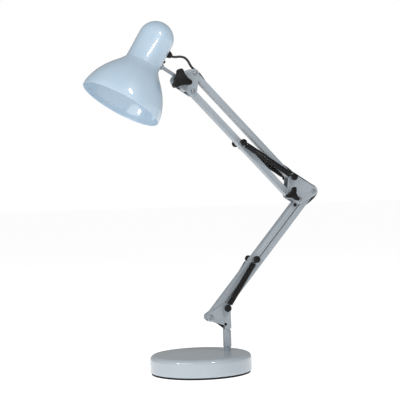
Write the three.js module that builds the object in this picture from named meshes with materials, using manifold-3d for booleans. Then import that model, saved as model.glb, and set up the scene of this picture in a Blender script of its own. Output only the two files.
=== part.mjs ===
// Swing arm desk lamp: a weighted round base, a swivelling post, two sprung parallelogram arms and a tilting
// shade. Millimetres, +Z up. The origin is the centre of the underside of the base. The arms swing in the XZ
// plane: the elbow points to +X and the shade hangs towards -X.
import * as THREE from "three";
import { mergeVertices } from "three/addons/utils/BufferGeometryUtils.js";
import Module from "manifold-3d";

const wasm = await Module();
wasm.setup();

// Clearances
const gap = 0.3; // between faces that meet
const play = 0.3; // round a pin in its hole

// Base
const baseRadius = 85;
const baseHeight = 32;
const baseTopRound = 8;
const baseRimRound = 3;
const coverWall = 1.2;
const padInset = 2;
const padThickness = 2.5;
const floorPlateThickness = 1.2;
const weightRadius = 76;
const grooveLength = 18; // of the lead's way up out of the weight's edge
const leadSpace = 5; // under the weight, where the lead crosses to the back
const bossRadius = 7;
const screwCircle = 50;
const screwAngles = [-90, 30, 150];
const screwRadius = 2;
const screwHeadRadius = 3.6;
const screwHeadThickness = 1.7;
const screwLength = 12; // from under the head

// Post
const postX = 49;
const pinRadius = 5.7;
const pinBottom = 16;
const sleeveRise = 7; // from the top of the base to the thick part of the post
const sleeveRadius = 7.1;
const neckBottom = baseHeight + 34.5;
const neckTop = baseHeight + 56;
const neckFront = 5.5;
const neckBack = 3;
const postBore = 3.2;
const leadSlot = [baseHeight + 37, baseHeight + 46.5];
const socketWall = 3.5;
const socketFlange = 15;
const socketFlangeThickness = 2;

// Arms: bars of folded channel between pairs of cheeks
const lowerLength = 258;
const lowerAngle = 48; // above the horizontal, leaning back
const upperLength = 248;
const upperAngle = 45.5; // above the horizontal, reaching forward
const barWidth = 9.8;
const barDepth = 12.4;
const barWall = 1.2;
const barOverhang = 7; // past each pivot
const elbowOverhang = 4.5; // at the elbow, where the lead passes the bars' ends
const cheekInside = barDepth / 2 + 0.5; // from the middle plane to a cheek's inner face
const cheekThickness = 1.5;
const neckHalfDepth = cheekInside - gap;
const pivotRadius = 2.5;
const rivetHeadRadius = 4;
const rivetHeadThickness = 1.8;

// Pivots, as [x, z]
const frontFoot = [postX - 31.5, baseHeight + 59.8];
const linkLower = [27.5, 13.5]; // from the front bar's pivots to the rear bar's
const kneeOffset = [-17.8, 8.4]; // from the front bar's upper pivot to the bottom bar's pivot
const linkUpper = [4.6, 30.6]; // from the bottom bar's pivots to the top bar's
const tiltOffset = [-25, 18.4]; // from the bottom bar's front pivot to the shade's tilt pivot

// Cheeks
const footRadius = 6.5;
const forkRadius = 8.5;
const forkNeck = [[-5.4, 46, 2.5], [-2.9, 40.1, 2.6], [1, 41.5, 4]]; // from the post's foot on the base
const forkWebX = postX + neckBack + 0.4;
const forkWebBottom = baseHeight + 38;
const forkWebTop = baseHeight + 54;
const elbowRadius = 8;
const kneeRadius = 6.4;
const shoulderRadius = 6.8;
const elbowWebMargin = 12;
const headPlateRadius = 7;
const headPlateNose = [-9.1, 0.1, 6.5]; // from the top bar's front pivot
const tiltPlateRadius = 9;
const headWebStart = 10;
const headWebEnd = 19;
const headWebOut = 0.6; // beyond the plate's round edge

// Springs and the pins that carry them
const springRadius = 5;
const springClear = 1.1; // beside a cheek
const springY = cheekInside + cheekThickness + springClear + springRadius;
const springHook = 8; // from a pin's axis to the first turn
const lowerPinAt = 124.5; // along the front bar, from its foot
const upperPinAt = 127; // along the bottom bar, from the elbow
const springPinHalf = springY + 4.7;
const collarRadius = 4;
const eyeRadius = 4.6;
const eyeThickness = 1.6;
const capRadius = 6;
const capEnd = springPinHalf + 1.8;
const stopBoltAt = 12.5; // below the front bar's upper pivot
const stopBoltHead = 3;

// Knobs
const knobBoltRadius = 2.8;
const knobBoltHead = 5;
const knobBoltHeadThickness = 3;
const elbowKnobReach = 13.5;
const elbowKnobTip = 2.9;
const elbowKnobHub = 5.2;
const elbowKnobAngles = [76, 193, 316];
const elbowKnobBack = cheekInside + cheekThickness + 6.8;
const elbowKnobFace = elbowKnobBack + 8;
const headKnobReach = 18;
const headKnobTip = 4.6;
const headKnobHub = 9.5;
const headKnobAngles = [97, 221, 341];
const headKnobBack = cheekInside + cheekThickness + 4.8;
const headKnobFace = headKnobBack + 12;

// Shade, in its own frame: the mouth's centre at the origin, +Z towards the closed end, +X towards the arm.
// tiltAt is the tilt pivot in that frame.
const shadeLean = 31;
const shadeWall = 1.2;
const shadeOutline = [
  [69.3, 0], [68.2, 10], [63.4, 26], [55.3, 42], [46.2, 55], [37, 66], [31.9, 73],
]; // [r, z]
const capStart = 77;
const capRound = 29.7;
const capShoulder = 125.5;
const tiltAt = [65.7, 84.8];
const knuckleRadius = 10.4;
const rodRadius = 3;
const rodAt = 90.5;
const rodCollarRadius = 5;
const rodCollarThickness = 3;
const studRadius = 2.2;
const studDepth = 17; // from the shade's axis to the tip of the stud
const holderScrewAt = 100;
const holderScrewHead = 2.6;
const holderRadius = 19.5;
const holderBottom = 84;
const holderTop = 128;
const holderBore = 14;
const holderBoreTop = 114;
const bulbCapRadius = 13;
const bulbCapLength = 26;
const bulbRadius = 22.5;
const bulbCentre = 58;
const bulbNeckRadius = 11;
const grommetAt = 115;
const grommetRadius = 6.5;
const grommetThickness = 4;
const grommetTip = 3.2;
const grommetLength = 8;

// Lead
const leadRadius = 2;
const reliefHeight = 11;
const reliefLength = 28;
const reliefFlange = 5;
const reliefNeck = 3.5;
const reliefRoot = 4.3;
const reliefTip = 2.9;
const coilCentre = [60, baseRadius + 45];
const coilMiddle = 24; // radius of the middle of the turns
const coilHalfWidth = 8.7;
const coilHeight = 13.2;
const tieThickness = 0.8;
const tieWidth = 7;
const plugCentre = [baseRadius + 7, 66];
const plugLength = 34;
const plugWidth = 15;
const plugHeight = 13;
const plugPinRadius = 2;
const plugPinLength = 19;
const plugPinSpread = 9.3; // between the middles of the pins, which are a little squeezed together

// The lead's route points. [x, z] in the arm's plane, [x, y, z] elsewhere.
const headLeadRoute = [
  [-34.2, 527.2], [-27.8, 527], [-20, 527.6], [-11.5, 525.8],
  [-6, 520.6], [-2.4, 514.4], [1, 509.8], [5.5, 506.2],
];
const topLeadRoute = [
  [6.2, 505.7], [11, 501.9], [16.5, 495.8], [22, 488.2],
  [27.5, 479.6], [34.5, 470.4], [100, 403.9], [149.8, 352.8],
];
const elbowLeadRoute = [
  [150.3, 352.4], [158.3, 346.3], [167.4, 341.2], [174.9, 336], [180.9, 330.7], [186.9, 327.2],
  [197.1, 320.8], [207.2, 314.5], [216.6, 308.6], [222.7, 305.2], [225.9, 301.8],
  [227.2, 297], [226.8, 293.4], [223.2, 288.6],
  [216, 282.3], [207.5, 276.5], [197.9, 270.4], [189.6, 263.6],
];
const rearLeadRoute = [[189.2, 263.1], [181.4, 255], [131, 199.1], [80.6, 143.1], [66.2, 127.1]];
const postLeadRoute = [
  [65.8, 126.6], [60.8, 118], [56.7, 110.9], [51.7, 104.7], [46.5, 98.6], [42.2, 93.6], [39.2, 88.6],
  [38, 83.8], [39.2, 79.4], [42.2, 76], [45.8, 73], [48.1, 69.4], [48.9, 65], [49, 58], [49, 40], [49, 17],
];
const baseLeadRoute = [
  [49, 0, 15.9], [49, 0.8, 11], [47.4, 4, 7.4], [43, 10, 6.5], [34, 20, 6.5], [20, 37.5, 6.5],
  [8, 53, 6.5], [2, 61, 6.9], [0.2, 67, 8.9], [0, 73, 10.7], [0, 79.6, 11], [0, 95, 11], [0, 111, 11],
];
const mainsLeadRoute = [
  [0, 113.6, 11], [0, 119, 10.3], [0.4, 127, 7.4], [2, 136, 4.4], [6.4, 146.4, 2.7], [14.5, 155.4, 2.2],
  [25.5, 161.4, 2.2], [38, 164.6, 2.6], [49, 165.6, 3.3], [58, 165.6, 3.3],
];
const plugLeadRoute = [
  [93.2, 118, 9.4], [92.8, 110, 9], [92.4, 102, 8], [92.1, 94, 7], [92, 88, 6.6], [92, 83.9, 6.5],
];

const finishes = {
  paint: { color: 0xb9c9d6, roughness: 0.3, metalness: 0.1 },
  armPaint: { color: 0xaab4bb, roughness: 0.38, metalness: 0.15 },
  steel: { color: 0xa7adb2, roughness: 0.35, metalness: 0.9 },
  springSteel: { color: 0x1b1c1e, roughness: 0.4, metalness: 0.6 },
  blackPlastic: { color: 0x141517, roughness: 0.45, metalness: 0 },
  iron: { color: 0x4a4c4e, roughness: 0.8, metalness: 0.5 },
  rubber: { color: 0x1a1a1b, roughness: 0.9, metalness: 0 },
  ceramic: { color: 0xe8e6e0, roughness: 0.4, metalness: 0 },
  glass: { color: 0xf4f4ef, roughness: 0.25, metalness: 0 },
  brass: { color: 0xc8b27a, roughness: 0.3, metalness: 1 },
};

const radians = THREE.MathUtils.degToRad;
const shift = ([x, z], [dx, dz]) => [x + dx, z + dz];
const along = ([x, z], angle, distance) => [
  x + distance * Math.cos(radians(angle)),
  z + distance * Math.sin(radians(angle)),
];
const between = ([ax, az], [bx, bz]) => ({
  distance: Math.hypot(bx - ax, bz - az),
  angle: THREE.MathUtils.radToDeg(Math.atan2(bz - az, bx - ax)),
});

// Solids
function solid(geometry) {
  const bare = geometry.clone();
  bare.deleteAttribute("normal");
  bare.deleteAttribute("uv");
  const merged = mergeVertices(bare, 1e-4);
  return new wasm.Manifold(
    new wasm.Mesh({
      numProp: 3,
      vertProperties: merged.attributes.position.array,
      triVerts: new Uint32Array(merged.index.array),
    }),
  );
}

function geometryOf(manifold) {
  const mesh = manifold.getMesh();
  const geometry = new THREE.BufferGeometry();
  geometry.setAttribute("position", new THREE.BufferAttribute(mesh.vertProperties, 3));
  geometry.setIndex(new THREE.BufferAttribute(mesh.triVerts, 1));
  return geometry;
}

const join = (...pieces) => geometryOf(pieces.map(solid).reduce((whole, piece) => whole.add(piece)));
const cut = (piece, ...tools) =>
  geometryOf(tools.map(solid).reduce((rest, tool) => rest.subtract(tool), solid(piece)));

// A box between two corners.
function block([x0, y0, z0], [x1, y1, z1]) {
  const box = new THREE.BoxGeometry(x1 - x0, y1 - y0, z1 - z0);
  return box.translate((x0 + x1) / 2, (y0 + y1) / 2, (z0 + z1) / 2);
}

// A round bar along Y, about [x, z].
function barAlongY(radius, y0, y1, [x, z], sides = 20) {
  return new THREE.CylinderGeometry(radius, radius, y1 - y0, sides).translate(x, (y0 + y1) / 2, z);
}

function barAlongZ(radius, z0, z1, [x, y], sides = 24) {
  return new THREE.CylinderGeometry(radius, radius, z1 - z0, sides)
    .rotateX(Math.PI / 2)
    .translate(x, y, (z0 + z1) / 2);
}

function barAlongX(radius, x0, x1, z, sides = 16) {
  return new THREE.CylinderGeometry(radius, radius, x1 - x0, sides)
    .rotateZ(Math.PI / 2)
    .translate((x0 + x1) / 2, 0, z);
}

// A closed profile of [radius, height] turned about Y. It starts and ends on the axis, or closes on itself.
function turned(profile, sides) {
  const points = profile.map(([r, y]) => new THREE.Vector2(r, y));
  const closed = points[0].x > 1e-6;
  if (THREE.ShapeUtils.area(points) < 0) points.reverse();
  if (closed) points.push(points[0].clone());
  return new THREE.LatheGeometry(points, sides);
}

const turnedUp = (profile, sides) => turned(profile, sides).rotateX(Math.PI / 2);

// The outline round circles [x, z, r], given anticlockwise.
function hull(circles) {
  const shape = new THREE.Shape();
  const side = (from, to) => {
    const line = between(from, to);
    return radians(line.angle) - Math.acos((from[2] - to[2]) / line.distance);
  };
  circles.forEach((circle, i) => {
    const before = circles.at(i - 1);
    const after = circles[(i + 1) % circles.length];
    shape.absarc(circle[0], circle[1], circle[2], side(before, circle), side(circle, after), false);
  });
  return shape;
}

const round = ([x, z, r]) => new THREE.Shape().absarc(x, z, r, 0, 2 * Math.PI, false);

// A flat sheet in the XZ plane from y0 to y1, with round holes [x, z, r].
function sheet(outline, y0, y1, holes = []) {
  for (const [x, z, r] of holes) {
    outline.holes.push(new THREE.Path().absarc(x, z, r, 0, 2 * Math.PI, true));
  }
  return new THREE.ExtrudeGeometry(outline, { depth: y1 - y0, bevelEnabled: false, curveSegments: 7 })
    .rotateX(Math.PI / 2)
    .translate(0, y1, 0);
}

// Two cheeks either side of the bars, joined by a web.
function cheeks(circles, holes, web) {
  const outside = cheekInside + cheekThickness;
  return join(
    sheet(hull(circles), -outside, -cheekInside, holes),
    sheet(hull(circles), cheekInside, outside, holes),
    web,
  );
}

// A web across the cheeks, beside the line from a to b: its outer face lies `out` to the right of that line.
function edgeWeb(a, b, start, end, out) {
  const outside = cheekInside + cheekThickness;
  const line = between(a, b);
  return block([start, -outside, -out], [end, outside, -out + cheekThickness])
    .rotateY(-radians(line.angle))
    .translate(a[0], 0, a[1]);
}

// A folded channel along X whose elbow end is at `to`, open towards +Z or -Z, drilled at each [x, r].
function channel(from, to, openSide, holes) {
  const half = barDepth / 2;
  const inside = half - barWall;
  const low = -barWidth / 2;
  const high = barWidth / 2;
  const hollow = openSide > 0 ? [low + barWall, high + 1] : [low - 1, high - barWall];
  return cut(
    block([from - barOverhang, -half, low], [to + elbowOverhang, half, high]),
    block([from - barOverhang - 1, -inside, hollow[0]], [to + elbowOverhang + 1, inside, hollow[1]]),
    ...holes.map(([x, r]) => barAlongY(r, -half - 1, half + 1, [x, 0])),
  );
}

// A rivet along Y with a domed head outside each cheek.
function rivet() {
  const seat = cheekInside + cheekThickness + gap;
  const top = seat + rivetHeadThickness;
  const shoulder = rivetHeadRadius * 0.75;
  return turned([
    [0, -top], [shoulder, -top + 0.4], [rivetHeadRadius, -seat - 0.4], [rivetHeadRadius, -seat],
    [pivotRadius, -seat], [pivotRadius, seat],
    [rivetHeadRadius, seat], [rivetHeadRadius, seat + 0.4], [shoulder, top - 0.4], [0, top],
  ], 16);
}

// A pin along Y with a collar inside each spring's eye. `seat` is where the collars start.
function springPin(seat) {
  const end = springY - eyeThickness / 2 - gap;
  return turned([
    [0, -springPinHalf], [pivotRadius, -springPinHalf], [pivotRadius, -end],
    [collarRadius, -end], [collarRadius, -seat], [pivotRadius, -seat],
    [pivotRadius, seat], [collarRadius, seat], [collarRadius, end],
    [pivotRadius, end], [pivotRadius, springPinHalf], [0, springPinHalf],
  ], 16);
}

// A black cap on the end of a spring pin. `side` is -1 for the near end.
function springCap(side) {
  const start = springY + eyeThickness / 2 + gap;
  const floor = springPinHalf + gap;
  const bore = pivotRadius + play;
  const profile = [
    [0, floor], [bore, floor], [bore, start], [capRadius - 0.5, start], [capRadius, start + 0.6],
    [capRadius, capEnd - 1.6], [capRadius - 1.6, capEnd], [0, capEnd],
  ];
  return turned(profile.map(([r, y]) => [r, side * y]), 18);
}

// A tension spring along X between two pins: the body of its turns, and a hook eye round each pin.
function spring(length) {
  const half = eyeThickness / 2;
  const eye = (x) => sheet(round([x, 0, eyeRadius]), -half, half, [[x, 0, pivotRadius + play]]);
  const neck = pivotRadius + play + 0.4;
  return join(
    barAlongX(springRadius, springHook, length - springHook, 0, 14),
    eye(0),
    eye(length),
    block([neck, -half, -1], [springHook + 0.5, half, 1]),
    block([length - springHook - 0.5, -half, -1], [length - neck, half, 1]),
  );
}

// A clamping bolt along Y: its head outside the far cheek, its shank reaching into a knob on the near side.
function knobBolt(tip) {
  const seat = cheekInside + cheekThickness + gap;
  const top = seat + knobBoltHeadThickness;
  return turned([
    [0, -tip], [knobBoltRadius, -tip], [knobBoltRadius, seat], [knobBoltHead, seat],
    [knobBoltHead, top - 0.8], [knobBoltHead - 0.8, top], [0, top],
  ], 20);
}

// A three-armed knob on the near side, drilled from behind for its bolt.
function knob(reach, tip, hub, angles, back, face, boltTip) {
  const arms = angles.map((angle) => {
    const [x, z] = along([0, 0], angle, reach - tip);
    return sheet(hull([[0, 0, hub * 0.8], [x, z, tip]]), -face, -back);
  });
  const seat = cheekInside + cheekThickness + gap;
  const hubBar = barAlongY(hub, -face - 1, -seat, [0, 0], 24);
  const bore = barAlongY(knobBoltRadius + play, -boltTip - gap, -seat + 1, [0, 0]);
  return cut(join(hubBar, ...arms), bore);
}

// A tube of the lead along route points.
function lead(route, steps, sides = 8) {
  const points = route.map((p) => new THREE.Vector3(...p));
  const curve = new THREE.CatmullRomCurve3(points, false, "centripetal");
  const section = new THREE.Shape();
  for (let i = 0; i < sides; i++) {
    const [x, y] = along([0, 0], (360 * i) / sides, leadRadius);
    if (i === 0) section.moveTo(x, y);
    else section.lineTo(x, y);
  }
  return new THREE.ExtrudeGeometry(section, { steps, extrudePath: curve, bevelEnabled: false });
}

const inArmPlane = (route) => route.map(([x, z]) => [x, 0, z]);

const lamp = new THREE.Group();

function add(group, name, geometry, finish) {
  const mesh = new THREE.Mesh(geometry, new THREE.MeshStandardMaterial(finishes[finish]));
  mesh.name = name;
  group.add(mesh);
  return mesh;
}

// A group with its X axis turned `angle` above the horizontal, at a pivot.
function frameAt([x, z], angle = 0) {
  const group = new THREE.Group();
  group.position.set(x, 0, z);
  group.rotation.y = -radians(angle);
  lamp.add(group);
  return group;
}

// Pivots worked out from the arms' lengths and angles
const rearFoot = shift(frontFoot, linkLower);
const frontTop = along(frontFoot, lowerAngle, lowerLength);
const rearTop = shift(frontTop, linkLower);
const knee = shift(frontTop, kneeOffset);
const shoulder = shift(knee, linkUpper);
const bottomFront = along(knee, 180 - upperAngle, upperLength);
const topFront = shift(bottomFront, linkUpper);
const tiltPivot = shift(bottomFront, tiltOffset);
const tiltArm = between([0, 0], tiltAt);
const mouthCentre = along(tiltPivot, 180 - shadeLean + tiltArm.angle, tiltArm.distance);
const lowerPin = along(frontFoot, lowerAngle, lowerPinAt);
const upperPin = along(knee, 180 - upperAngle, upperPinAt);
const pinHole = pivotRadius + play;
const cheekOutside = cheekInside + cheekThickness;

function buildBase() {
  const group = frameAt([0, 0]);
  const bottom = padThickness + gap;
  const ceiling = baseHeight - coverWall;
  const quarter = (radius, r, z, from) => [0, 1, 2, 3, 4].map((i) => along([r, z], from + 22.5 * i, radius));
  const innerRound = baseTopRound - coverWall;
  const cover = turnedUp([
    [0, ceiling],
    ...quarter(innerRound, baseRadius - baseTopRound, baseHeight - baseTopRound, 0).reverse(),
    ...quarter(baseRimRound - coverWall, baseRadius - baseRimRound, bottom + baseRimRound, -90).reverse(),
    ...quarter(baseRimRound, baseRadius - baseRimRound, bottom + baseRimRound, -90),
    ...quarter(baseTopRound, baseRadius - baseTopRound, baseHeight - baseTopRound, 0),
    [0, baseHeight],
  ], 44);
  const leadHole = new THREE.CylinderGeometry(reliefNeck + play, reliefNeck + play, 10, 20)
    .translate(0, baseRadius, 0)
    .translate(0, 0, reliefHeight);
  const postHole = barAlongZ(pinRadius + play, ceiling - 1, baseHeight + 1, [postX, 0]);
  add(group, "base_cover", cut(cover, postHole, leadHole), "paint");

  const screws = screwAngles.map((angle) => along([0, 0], angle, screwCircle));
  const plateBottom = padThickness + gap;
  const plateTop = plateBottom + floorPlateThickness;
  const plateRadius = baseRadius - baseRimRound - 2 * gap;
  const pad = barAlongZ(baseRadius - padInset, 0, padThickness, [0, 0], 48);
  const headHoles = screws.map((at) => barAlongZ(screwHeadRadius + 1, -1, padThickness + 1, at, 16));
  add(group, "base_pad", cut(pad, ...headHoles), "rubber");
  const plate = barAlongZ(plateRadius, plateBottom, plateTop, [0, 0], 48);
  const shankHoles = screws.map((at) => barAlongZ(screwRadius + play, plateBottom - 1, plateTop + 1, at, 16));
  add(group, "base_floor_plate", cut(plate, ...shankHoles), "steel");

  const socketRadius = pinRadius + play + socketWall;
  const flangeTop = ceiling - gap;
  const flangeBottom = flangeTop - socketFlangeThickness;
  const weightBottom = plateTop + leadSpace;
  const bosses = screws.map((at) => barAlongZ(bossRadius, plateTop + gap, weightBottom + 1, at, 20));
  const weight = join(barAlongZ(weightRadius, weightBottom, flangeBottom - gap, [0, 0], 44), ...bosses);
  const screwTop = plateBottom - gap + screwLength;
  const screwHoles = screws.map((at) => barAlongZ(screwRadius + play, plateTop, screwTop + gap, at, 16));
  const socketHole = barAlongZ(socketRadius + gap, weightBottom - 1, flangeBottom, [postX, 0]);
  const grooveHalf = leadRadius + 1.5;
  const groove = block(
    [-grooveHalf, weightRadius - grooveLength, weightBottom - 1],
    [grooveHalf, weightRadius + 1, reliefHeight + grooveHalf],
  );
  add(group, "base_weight", cut(weight, socketHole, groove, ...screwHoles), "iron");
  const socket = turnedUp([
    [pinRadius + play, pinBottom], [socketRadius, pinBottom], [socketRadius, flangeBottom],
    [socketFlange, flangeBottom], [socketFlange, flangeTop], [pinRadius + play, flangeTop],
  ], 28).translate(postX, 0, 0);
  add(group, "post_socket", socket, "steel");

  screws.forEach(([x, y], i) => {
    const headTop = plateBottom - gap;
    const headBottom = headTop - screwHeadThickness;
    const screw = turnedUp([
      [0, headBottom], [screwHeadRadius - 0.8, headBottom], [screwHeadRadius, headBottom + 0.7],
      [screwHeadRadius, headTop], [screwRadius, headTop], [screwRadius, screwTop], [0, screwTop],
    ], 16).translate(x, y, 0);
    add(group, `base_screw_${i + 1}`, screw, "steel");
  });

  const wallInside = baseRadius - coverWall - 2 * gap;
  const wallOutside = baseRadius + gap;
  const bore = leadRadius + gap;
  const relief = turned([
    [bore, wallInside - 2], [reliefFlange, wallInside - 2],
    [reliefFlange, wallInside], [reliefNeck, wallInside],
    [reliefNeck, wallOutside], [reliefFlange, wallOutside], [reliefFlange, wallOutside + 2],
    [reliefRoot, wallOutside + 2.5],
    [reliefTip, baseRadius + reliefLength], [bore, baseRadius + reliefLength],
  ], 20).translate(0, 0, reliefHeight);
  add(group, "lead_relief", relief, "blackPlastic");
  add(group, "base_lead", lead(baseLeadRoute, 34), "rubber");
}

function buildPost() {
  const group = frameAt([0, 0]);
  const sleeveBottom = baseHeight + sleeveRise;
  const stem = turnedUp([
    [postBore, pinBottom], [pinRadius, pinBottom],
    [pinRadius, sleeveBottom], [sleeveRadius - 0.8, sleeveBottom],
    [sleeveRadius, sleeveBottom + 0.8], [sleeveRadius, neckTop], [postBore, neckTop],
  ], 28).translate(postX, 0, 0);
  const side = sleeveRadius + 1;
  const trimmed = cut(
    stem,
    block([postX - side, -side, neckBottom], [postX - neckFront, side, neckTop + 1]),
    block([postX + neckBack, -side, neckBottom], [postX + side, side, neckTop + 1]),
    block([postX - side, -side, neckBottom], [postX + side, -neckHalfDepth, neckTop + 1]),
    block([postX - side, neckHalfDepth, neckBottom], [postX + side, side, neckTop + 1]),
    block([postX - side, -postBore, leadSlot[0]], [postX, postBore, leadSlot[1]]),
  );
  add(group, "post_stem", trimmed, "armPaint");

  const web = block(
    [forkWebX, -cheekOutside, forkWebBottom],
    [forkWebX + cheekThickness, cheekOutside, forkWebTop],
  );
  const neck = forkNeck.map(([x, z, r]) => [postX + x, baseHeight + z, r]);
  const fork = cheeks(
    [[...frontFoot, footRadius], ...neck, [...rearFoot, forkRadius]],
    [[...frontFoot, pinHole], [...rearFoot, pinHole]],
    web,
  );
  add(group, "lower_fork", fork, "armPaint");
  add(frameAt(frontFoot), "front_foot_rivet", rivet(), "steel");
  const pinFrame = frameAt(rearFoot);
  add(pinFrame, "rear_foot_pin", springPin(cheekOutside + gap), "steel");
  add(pinFrame, "rear_foot_cap_near", springCap(-1), "blackPlastic");
  add(pinFrame, "rear_foot_cap_far", springCap(1), "blackPlastic");
  add(group, "post_lead", lead(inArmPlane(postLeadRoute), 34), "rubber");
}

function addSprings(from, to, names) {
  const line = between(from, to);
  const frame = frameAt(from, line.angle);
  add(frame, names[0], spring(line.distance).translate(0, -springY, 0), "springSteel");
  add(frame, names[1], spring(line.distance).translate(0, springY, 0), "springSteel");
}

function buildLowerArm() {
  const frontFrame = frameAt(frontFoot, lowerAngle);
  const stopAt = lowerLength - stopBoltAt;
  const stopHole = screwRadius + play;
  const frontHoles = [[0, pinHole], [lowerLength, pinHole], [lowerPinAt, pinHole], [stopAt, stopHole]];
  add(frontFrame, "lower_front_bar", channel(0, lowerLength, -1, frontHoles), "armPaint");
  const seat = barDepth / 2 + gap;
  const stopTop = seat + rivetHeadThickness;
  const stopBolt = turned([
    [0, -stopTop], [stopBoltHead - 0.6, -stopTop], [stopBoltHead, -stopTop + 0.6], [stopBoltHead, -seat],
    [screwRadius, -seat], [screwRadius, seat], [stopBoltHead, seat], [stopBoltHead, stopTop - 0.6],
    [stopBoltHead - 0.6, stopTop], [0, stopTop],
  ], 16);
  add(frontFrame, "arm_stop_bolt", stopBolt.translate(stopAt, 0, 0), "blackPlastic");
  const pinFrame = frameAt(lowerPin);
  add(pinFrame, "front_bar_pin", springPin(seat), "steel");
  add(pinFrame, "front_bar_cap_near", springCap(-1), "blackPlastic");
  add(pinFrame, "front_bar_cap_far", springCap(1), "blackPlastic");
  const rearHoles = [[0, pinHole], [lowerLength, pinHole]];
  add(frameAt(rearFoot, lowerAngle), "lower_rear_bar", channel(0, lowerLength, -1, rearHoles), "armPaint");
  add(frameAt([0, 0]), "rear_bar_lead", lead(inArmPlane(rearLeadRoute), 12), "rubber");
  addSprings(rearFoot, lowerPin, ["lower_spring_near", "lower_spring_far"]);
}

function buildElbow() {
  const webSpan = between(rearTop, shoulder).distance;
  const bracket = cheeks(
    [
      [...knee, kneeRadius], [...frontTop, elbowRadius],
      [...rearTop, elbowRadius], [...shoulder, shoulderRadius],
    ],
    [
      [...knee, knobBoltRadius + play], [...frontTop, pinHole],
      [...rearTop, pinHole], [...shoulder, pinHole],
    ],
    edgeWeb(rearTop, shoulder, elbowWebMargin, webSpan - elbowWebMargin, shoulderRadius),
  );
  add(frameAt([0, 0]), "elbow_bracket", bracket, "armPaint");
  add(frameAt(rearTop), "elbow_rear_rivet", rivet(), "steel");
  add(frameAt(frontTop), "elbow_front_rivet", rivet(), "steel");
  const shoulderFrame = frameAt(shoulder);
  add(shoulderFrame, "shoulder_pin", springPin(cheekOutside + gap), "steel");
  add(shoulderFrame, "shoulder_cap_near", springCap(-1), "blackPlastic");
  add(shoulderFrame, "shoulder_cap_far", springCap(1), "blackPlastic");
  const kneeFrame = frameAt(knee);
  const boltTip = elbowKnobFace - 3;
  add(kneeFrame, "elbow_knob_bolt", knobBolt(boltTip), "steel");
  const knobForm = [elbowKnobReach, elbowKnobTip, elbowKnobHub, elbowKnobAngles];
  const elbowKnob = knob(...knobForm, elbowKnobBack, elbowKnobFace, boltTip);
  add(kneeFrame, "elbow_knob", elbowKnob, "blackPlastic");
  add(frameAt([0, 0]), "elbow_lead", lead(inArmPlane(elbowLeadRoute), 38), "rubber");
}

function buildUpperArm() {
  const ends = [[-upperLength, pinHole], [0, pinHole]];
  add(frameAt(shoulder, -upperAngle), "top_bar", channel(-upperLength, 0, 1, ends), "armPaint");
  const bottomHoles = [[-upperLength, pinHole], [0, knobBoltRadius + play], [-upperPinAt, pinHole]];
  add(frameAt(knee, -upperAngle), "bottom_bar", channel(-upperLength, 0, 1, bottomHoles), "armPaint");
  const pinFrame = frameAt(upperPin);
  add(pinFrame, "bottom_bar_pin", springPin(barDepth / 2 + gap), "steel");
  add(pinFrame, "bottom_bar_cap_near", springCap(-1), "blackPlastic");
  add(pinFrame, "bottom_bar_cap_far", springCap(1), "blackPlastic");
  addSprings(upperPin, shoulder, ["upper_spring_near", "upper_spring_far"]);
  add(frameAt([0, 0]), "top_bar_lead", lead(inArmPlane(topLeadRoute), 24), "rubber");
}

function buildHeadBracket() {
  const [noseX, noseZ, noseRadius] = headPlateNose;
  const nose = [...shift(topFront, [noseX, noseZ]), noseRadius];
  const webSpan = between(tiltPivot, bottomFront).distance;
  const bracket = cheeks(
    [
      [...bottomFront, headPlateRadius], [...topFront, headPlateRadius],
      nose, [...tiltPivot, tiltPlateRadius],
    ],
    [[...bottomFront, pinHole], [...topFront, pinHole], [...tiltPivot, knobBoltRadius + play]],
    edgeWeb(
      tiltPivot, bottomFront,
      webSpan - headWebEnd, webSpan - headWebStart,
      headPlateRadius + headWebOut,
    ),
  );
  add(frameAt([0, 0]), "head_bracket", bracket, "armPaint");
  add(frameAt(topFront), "head_top_rivet", rivet(), "steel");
  add(frameAt(bottomFront), "head_bottom_rivet", rivet(), "steel");
  const tiltFrame = frameAt(tiltPivot);
  const boltTip = headKnobFace - 4;
  add(tiltFrame, "head_knob_bolt", knobBolt(boltTip), "steel");
  const knobForm = [headKnobReach, headKnobTip, headKnobHub, headKnobAngles];
  const headKnob = knob(...knobForm, headKnobBack, headKnobFace, boltTip);
  add(tiltFrame, "head_knob", headKnob, "blackPlastic");
  add(frameAt([0, 0]), "head_lead", lead(inArmPlane(headLeadRoute), 22), "rubber");
}

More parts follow.
